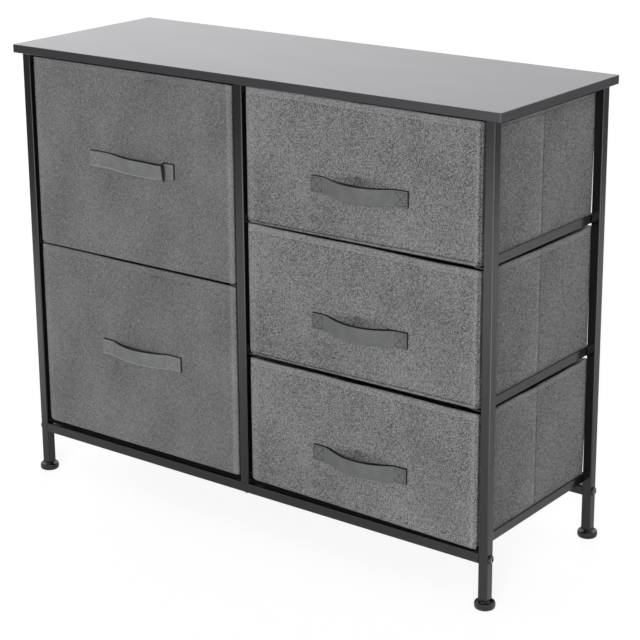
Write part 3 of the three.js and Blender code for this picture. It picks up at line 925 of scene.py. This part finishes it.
# Styles of the drawers. Heights are above a drawer's foot, and pairs are left and right, or low and high
# for rear. pull: height of the strap. path, tabs: its bow and sewn ends. lean, droop: how far its upper
# edge leans out and its bow sinks. dent: depth of the cloth's dents. seam: height of the lower seam.
# top, rear: rise of the top edge and bulge of the rear edges. sag, sag_fade, square: how far the front's
# fold hangs, how near the corners it does so, and how square the right one is. The rest are painted light
# and shade: hem, right edge's pale band and its dark line, and the shade above the strap.
LEFT = {
    "pull": 144 * MM, "path": LOOP_BOW, "tabs": ((-79.0, -58.0), (60.6, 80.0)), "lean": 1.8 * MM,
    "droop": 0.4 * MM, "dent": 0.16 * MM, "seam": None, "rear": (MM, MM), "hem_shading": 0.06,
    "edge_highlight": 0.27, "edge_shade_line": 0.0, "shade": 0.0, "edge_stitches": True, "sag_fade": 24 * MM,
    "square": 0.0,
}
RIGHT = {
    "pull": 70 * MM, "path": EVEN_BOW, "tabs": ((-77.0, -56.5), (55.5, 76.6)), "lean": 0.6 * MM,
    "droop": 2.2 * MM, "dent": 0.8 * MM, "seam": None, "rear": (1.2 * MM, 1.4 * MM), "hem_shading": 0.15,
    "edge_highlight": 0.2, "edge_shade_line": 0.5, "shade": 0.3, "edge_stitches": False, "sag_fade": 24 * MM,
    "square": 0.0,
}
STYLES = {
    "left_lower": dict(
        LEFT, seed=11, top=(0.8 * MM, -0.2 * MM), sag=(0.0, 0.0), path=LOW_BOW, lean=2.4 * MM,
        tabs=((-68.0, -47.0), (56.0, 83.0)),
    ),
    "left_upper": dict(LEFT, seed=23, top=(-0.6 * MM, -0.6 * MM), sag=(0.7 * MM, 0.1 * MM)),
    "right_lower": dict(
        RIGHT, seed=37, top=(-2.6 * MM, -3.0 * MM), sag=(-0.9 * MM, 5.4 * MM),
        sag_fade=MM, square=0.85, rear=(0.2 * MM, 3.3 * MM), edge_shade_line=0.15,
    ),
    "right_middle": dict(
        RIGHT, seed=41, top=(1.1 * MM, -1.5 * MM), sag=(0.8 * MM, 0.0), seam=(3.8 * MM, 5.6 * MM),
        rear=(0.7 * MM, 2.0 * MM), edge_shade_line=0.35,
    ),
    "right_upper": dict(
        RIGHT, seed=59, top=(1.3 * MM, -0.4 * MM), sag=(0.8 * MM, 0.0), seam=(3.8 * MM, 5.6 * MM),
        rear=(0.1 * MM, 2.2 * MM),
    ),
}


def add_drawers():
    """Builds each drawer with its strap and stitches, and the painted-shade felt strips of the two lowest
    ones.
    """
    fine = fabric_material("heathered_cloth_fine", 108, 0.88, 0.4, 0.0)
    coarse = fabric_material("heathered_cloth_coarse", 117, 1.34, 0.5, 11.0)
    lining = fabric_material("cloth_lining", 104, 0.2, 0.4, 5.0)
    strap = webbing_material("strap_webbing", 110)
    pale_strap = webbing_material("pale_strap_webbing", 121)
    # Near-black material for painted shade: the strap's edges, back and turned-in flank, and the sheet
    # behind it.
    edge = webbing_material("strap_painted_shade", 26)
    pale = thread_material("thread_pale", 158)
    plain = thread_material("thread_plain", 124)
    dark = thread_material("thread_dark", 38)
    # Bright thread for the stitches that paint the highlight along a left strap's lower edge.
    bright = thread_material("thread_highlight", 172)
    # Black felt for the strips that stand in as painted shade in the gap above the bottom rail.
    felt = felt_material("shade_felt", 15)
    for name, style in STYLES.items():
        drawer = Drawer(f"{name}_drawer", style)
        left = name.startswith("left")
        drawer.build([fine if left else coarse, lining])
        add_pull(drawer, [pale_strap if left else strap, edge], pale if left else dark, bright)
        sew_hem(drawer, plain if left else pale)
        if name.endswith("lower"):
            add_foot_strip(drawer, felt)


def add_socket_rims(material):
    """A bright metal rim round the key socket in the head of each corner bolt, a painted glint."""
    count = len(SOCKET_RIM)
    for end in ("front", "rear"):
        for side, sign in (("left", -1), ("right", 1)):
            low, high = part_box(f"{end}_{side}_corner_bolt")
            face = high.x if sign > 0 else low.x
            middle_y = (low.y + high.y) / 2
            middle_z = (low.z + high.z) / 2
            vertices = []
            faces = []
            for step in range(SOCKET_STEPS):
                angle = 2 * math.pi * step / SOCKET_STEPS
                for radius, rise in SOCKET_RIM:
                    y = middle_y + sign * radius * math.cos(angle)
                    vertices.append((face + sign * rise, y, middle_z + radius * math.sin(angle)))
                faces += join_rings(step * count, (step + 1) % SOCKET_STEPS * count, count)
            name = f"{end}_{side}_bolt_rim"
            add_mesh(name, vertices, faces, [material], body="frame")


def dress_frame():
    """Gives each carried-over CAD node the finish of its slot."""
    finishes = {
        "board": board_material(),
        "frame_steel": steel_material(),
        "black_bolt": plastic_material("black_bolt_finish", 14, 0.12),
        "zinc_steel": metal_material("zinc_plate", 190, 0.25),
        "plastic": plastic_material("insert_plastic", 24, 0.35),
        "glide_plastic": plastic_material("glide_plastic_finish", 12, 0.18),
        "base_card": card_material(),
    }
    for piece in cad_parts.values():
        for place in piece.material_slots:
            place.material = finishes.get(place.material.name, place.material)


def add_camera():
    """A camera at the photograph's place, which looks down at the dresser's right front corner."""
    level = math.cos(PITCH)
    forward = Vector((-math.sin(YAW) * level, math.cos(YAW) * level, -math.sin(PITCH)))
    right = Vector((math.cos(YAW), math.sin(YAW), 0))
    up = right.cross(forward)
    cosine = math.cos(ROLL)
    sine = math.sin(ROLL)
    right, up = cosine * right + sine * up, cosine * up - sine * right
    data = bpy.data.cameras.new("camera")
    data.sensor_width = SENSOR_WIDTH
    data.lens = FOCAL_PIXELS / FRAME_WIDTH * SENSOR_WIDTH
    data.shift_y = (CENTRE_ROW - FRAME_WIDTH / 2) / FRAME_WIDTH
    data.clip_start = 0.05
    data.clip_end = 200
    camera = bpy.data.objects.new("camera", data)
    turn = Matrix((right, up, -forward)).transposed().to_4x4()
    camera.matrix_world = Matrix.Translation(CAMERA_PLACE) @ turn
    bpy.context.scene.collection.objects.link(camera)
    bpy.context.scene.camera = camera


def glow_pools(g):
    """Brightness of the floor in gloss: an even glow with the soft pools of light on it."""
    place = g.node("ShaderNodeNewGeometry").outputs["Position"]
    total = FLOOR_GLOW
    for centre, width, gain in FLOOR_POOLS:
        away = g.math("MULTIPLY", g.vector("DISTANCE", place, centre), 1 / width)
        pool = g.math("EXPONENT", g.math("MULTIPLY", g.math("POWER", away, 2.0), -0.5))
        total = g.math("ADD", g.math("MULTIPLY", pool, gain), total)
    return total


def add_floor():
    """Pale floor: white to the camera with the object's shadow kept in it, and lit in pools in gloss."""
    low, high = -FLOOR_REACH, FLOOR_REACH
    corners = [(low, low, 0), (high, low, 0), (high, high, 0), (low, high, 0)]
    mesh = bpy.data.meshes.new("floor")
    mesh.from_pydata(corners, [], [(0, 1, 2, 3)])
    floor = bpy.data.objects.new("floor", mesh)
    bpy.context.scene.collection.objects.link(floor)
    g = Graph(bpy.data.materials.new("pale_floor"))
    g.tree.nodes.clear()
    path = g.node("ShaderNodeLightPath")
    matt = g.node("ShaderNodeBsdfDiffuse", {"Color": FLOOR_SEEN})
    glow = g.node("ShaderNodeEmission", {"Strength": FLOOR_WHITE})
    white = g.node("ShaderNodeAddShader", {0: matt.outputs[0], 1: glow.outputs[0]})
    plain = g.node("ShaderNodeBsdfDiffuse", {"Color": FLOOR_PLAIN})
    pools = g.node("ShaderNodeEmission", {"Strength": glow_pools(g)})
    seen = plain.outputs[0]
    for ray, shader in (("Is Glossy Ray", pools), ("Is Camera Ray", white)):
        choice = g.node("ShaderNodeMixShader", {0: path.outputs[ray], 1: seen, 2: shader.outputs[0]})
        seen = choice.outputs[0]
    g.node("ShaderNodeOutputMaterial", {0: seen})
    mesh.materials.append(g.owner)


def add_sun(name, energy, azimuth):
    """A broad low lamp, unseen in gloss; its azimuth is in degrees from the front towards the right."""
    data = bpy.data.lights.new(name, "SUN")
    data.energy = energy
    data.angle = math.radians(SUN_ANGLE)
    lamp = bpy.data.objects.new(name, data)
    turn = math.radians(azimuth)
    height = math.radians(SUN_HEIGHT)
    level = math.cos(height)
    source = Vector((math.sin(turn) * level, -math.cos(turn) * level, math.sin(height)))
    lamp.rotation_mode = "QUATERNION"
    lamp.rotation_quaternion = source.to_track_quat("Z", "Y")
    lamp.visible_glossy = False
    bpy.context.scene.collection.objects.link(lamp)


def add_light():
    """Soft studio light: an even surround, a key lamp from the camera's side and a fill from behind.

    Matt surfaces get the surround at a low level. The camera, gloss and glass see it a little over
    white, and brighter still towards the rear left. The lamps don't show in gloss.
    """
    world = bpy.data.worlds.new("studio")
    bpy.context.scene.world = world
    g = Graph(world)
    path = g.node("ShaderNodeLightPath")
    white = path.outputs["Is Camera Ray"]
    for name in ("Is Glossy Ray", "Is Transmission Ray"):
        white = g.math("MAXIMUM", white, path.outputs[name])
    place = g.node("ShaderNodeTexCoord").outputs["Generated"]
    gloss = {"Value": g.vector("DOT_PRODUCT", place, GLOSS_SIDE)}
    gloss.update(zip(("From Min", "From Max"), GLOSS_CLOSENESS))
    gloss.update(zip(("To Min", "To Max"), GLOSS_LEVELS))
    bright = g.node("ShaderNodeMapRange", gloss).outputs[0]
    level = g.node("ShaderNodeMapRange", {"Value": white, "To Min": WORLD_LEVEL, "To Max": bright})
    back = g.tree.nodes["Background"]
    g.put(back, "Color", (1, 1, 1, 1))
    g.put(back, "Strength", level.outputs[0])
    add_sun("key", *KEY)
    add_sun("fill", *FILL)


bpy.context.scene.view_settings.view_transform = "Standard"
add_drawers()
dress_frame()
add_socket_rims(metal_material("bolt_glint_rim", 196, 0.4))
add_camera()
add_floor()
add_light()
